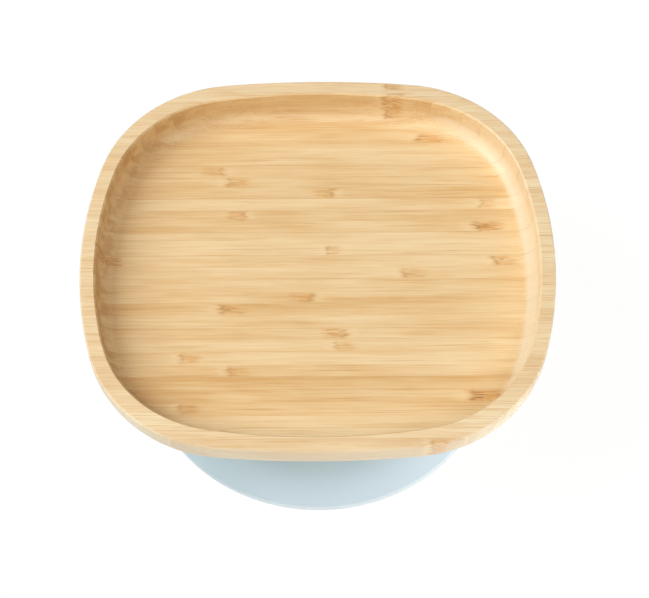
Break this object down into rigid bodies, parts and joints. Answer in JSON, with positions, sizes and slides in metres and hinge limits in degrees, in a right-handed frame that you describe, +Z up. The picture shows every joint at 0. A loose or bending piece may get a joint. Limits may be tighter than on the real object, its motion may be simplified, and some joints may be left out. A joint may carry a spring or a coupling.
{
  "type": "toddler plate",
  "caption": "Bamboo toddler plate with a milled well and bulged sides, glued up from strips, on a pull-off silicone suction cup that holds it to a table.",
  "frame": {"origin": "on the table, under the middle of the plate", "axes": "+X to the right along the strips, +Y to the back of the plate, +Z up"},
  "size_m": [0.18, 0.168, 0.075],
  "materials": {
    "bamboo_light": "satin",
    "bamboo_mid": "satin",
    "bamboo_dark": "satin",
    "bamboo_foot": "satin",
    "silicone": "satin"
  },
  "bodies": {
    "suction_base": {"suction_cup": "silicone"},
    "plate": {"bamboo_strip_01": "bamboo_light", "bamboo_strip_02": "bamboo_dark", "bamboo_strip_03": "bamboo_mid", "bamboo_strip_04": "bamboo_light", "bamboo_strip_05": "bamboo_dark", "bamboo_strip_06": "bamboo_mid", "bamboo_strip_07": "bamboo_light", "bamboo_strip_08": "bamboo_dark", "bamboo_strip_09": "bamboo_mid", "bamboo_strip_10": "bamboo_light", "bamboo_strip_11": "bamboo_dark", "bamboo_strip_12": "bamboo_mid", "bamboo_strip_13": "bamboo_light", "bamboo_strip_14": "bamboo_dark", "bamboo_strip_15": "bamboo_mid", "bamboo_strip_16": "bamboo_light", "bamboo_strip_17": "bamboo_dark", "bamboo_strip_18": "bamboo_mid", "bamboo_strip_19": "bamboo_light", "bamboo_strip_20": "bamboo_dark", "bamboo_strip_21": "bamboo_mid", "bamboo_strip_22": "bamboo_light", "bamboo_strip_23": "bamboo_dark", "bamboo_strip_24": "bamboo_mid", "bamboo_strip_25": "bamboo_light", "bamboo_strip_26": "bamboo_dark", "bamboo_strip_27": "bamboo_mid", "bamboo_strip_28": "bamboo_light", "bamboo_strip_29": "bamboo_dark", "bamboo_strip_30": "bamboo_mid", "bamboo_strip_31": "bamboo_light", "foot_disc": "bamboo_foot"}
  },
  "joints": [
    {"name": "plate_lift", "type": "slide", "parent": "suction_base", "child": "plate", "axis": [0, 0, 1], "range_m": [0, 0.04]}
  ]
}
